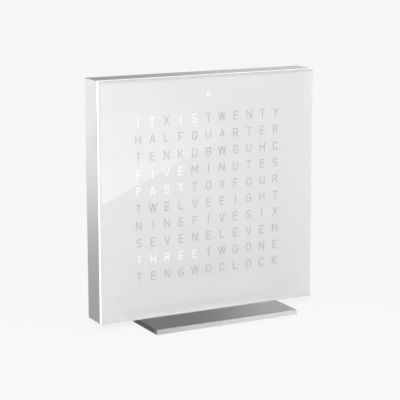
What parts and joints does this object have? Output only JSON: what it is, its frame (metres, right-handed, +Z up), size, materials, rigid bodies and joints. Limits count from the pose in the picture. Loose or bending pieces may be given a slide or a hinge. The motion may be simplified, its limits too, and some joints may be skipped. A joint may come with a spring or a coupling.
{
  "type": "word clock",
  "caption": "Square desk clock that shows the time in lit words behind a clear, pull-off front cover, in a satin metal case on a flat brushed foot.",
  "frame": {"origin": "on the table, under the middle of the foot", "axes": "+Z up, the lettered face looks along -Y, +X to the right of someone who reads it"},
  "size_m": [0.135, 0.062, 0.1382],
  "materials": {
    "clear_acrylic": "polished clear acrylic",
    "white_print": "opaque white layer behind clear acrylic",
    "nickel_magnet": "nickel plated",
    "satin_case": "satin, fine blasted",
    "diffuser": "milky film",
    "white_moulding": "moulded, matte",
    "board_green": "solder mask",
    "lamp_white": "moulded lamps",
    "chip_black": "moulded epoxy",
    "crystal_can": "drawn metal lid",
    "capacitor_can": "drawn can",
    "holder_black": "moulded",
    "cell_steel": "bright steel",
    "sounder_black": "moulded",
    "switch_black": "moulded",
    "socket_steel": "stamped shell",
    "standoff_brass": "turned",
    "rear_grey": "fine texture",
    "screw_steel": "zinc plated",
    "brushed_foot": "brushed along its length",
    "mat_rubber": "matte",
    "button_grey": "satin"
  },
  "bodies": {
    "case": {"housing_frame": "satin_case", "frame_magnets": "nickel_magnet", "diffuser_sheet": "diffuser", "light_grid": "white_moulding", "led_board": "board_green", "letter_leds": "lamp_white", "dot_leds": "lamp_white", "driver_chips": "chip_black", "microcontroller": "chip_black", "quartz_crystal": "crystal_can", "smoothing_capacitors": "capacitor_can", "battery_holder": "holder_black", "backup_battery": "cell_steel", "alarm_sounder": "sounder_black", "key_switches": "switch_black", "power_socket": "socket_steel", "board_standoffs": "standoff_brass", "rear_cover": "rear_grey", "rear_cover_screws": "screw_steel", "foot_plate": "brushed_foot", "foot_screws": "screw_steel", "foot_mat": "mat_rubber"},
    "cover": {"front_cover": "clear_acrylic", "letter_mask": "white_print", "cover_magnets": "nickel_magnet"},
    "hour_button": {"hour_button": "button_grey"},
    "minute_button": {"minute_button": "button_grey"},
    "alarm_button": {"alarm_button": "button_grey"},
    "light_button": {"light_button": "button_grey"}
  },
  "joints": [
    {"name": "front_cover_pull", "type": "slide", "parent": "case", "child": "cover", "axis": [0, -1, 0], "range_m": [0, 0.04]},
    {"name": "hour_button_press", "type": "slide", "parent": "case", "child": "hour_button", "axis": [0, -1, 0], "range_m": [0, 0.0004], "stiffness_N_per_m": 400, "springref_m": -0.0015},
    {"name": "minute_button_press", "type": "slide", "parent": "case", "child": "minute_button", "axis": [0, -1, 0], "range_m": [0, 0.0004], "stiffness_N_per_m": 400, "springref_m": -0.0015},
    {"name": "alarm_button_press", "type": "slide", "parent": "case", "child": "alarm_button", "axis": [0, -1, 0], "range_m": [0, 0.0004], "stiffness_N_per_m": 400, "springref_m": -0.0015},
    {"name": "light_button_press", "type": "slide", "parent": "case", "child": "light_button", "axis": [0, -1, 0], "range_m": [0, 0.0004], "stiffness_N_per_m": 400, "springref_m": -0.0015}
  ]
}
